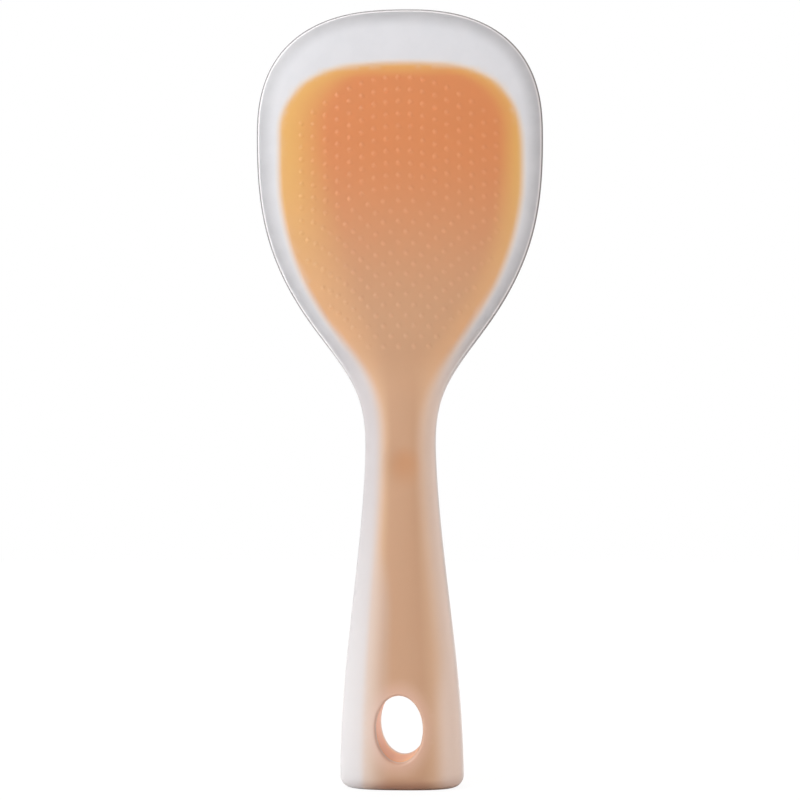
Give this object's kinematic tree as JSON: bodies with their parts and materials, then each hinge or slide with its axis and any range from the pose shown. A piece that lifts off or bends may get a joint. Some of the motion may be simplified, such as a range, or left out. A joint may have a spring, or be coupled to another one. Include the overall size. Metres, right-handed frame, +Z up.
{
  "type": "rice paddle",
  "caption": "Self-standing rice paddle: a stiff coloured core inside a soft translucent skin with raised anti-stick dots, a flared handle with a flat foot, and an oval hanging hole.",
  "frame": {"origin": "centre of the flat foot that the paddle stands on", "axes": "+Z up along the handle to the blade's tip, -Y out of the face with the thumb rest, +X to the right seen from that face"},
  "size_m": [0.0758, 0.0198, 0.205],
  "materials": {
    "silicone": "frosted, translucent moulded silicone",
    "core_plastic": "smooth moulded plastic"
  },
  "bodies": {
    "root": {"silicone_body": "silicone", "core": "core_plastic"}
  },
  "joints": []
}
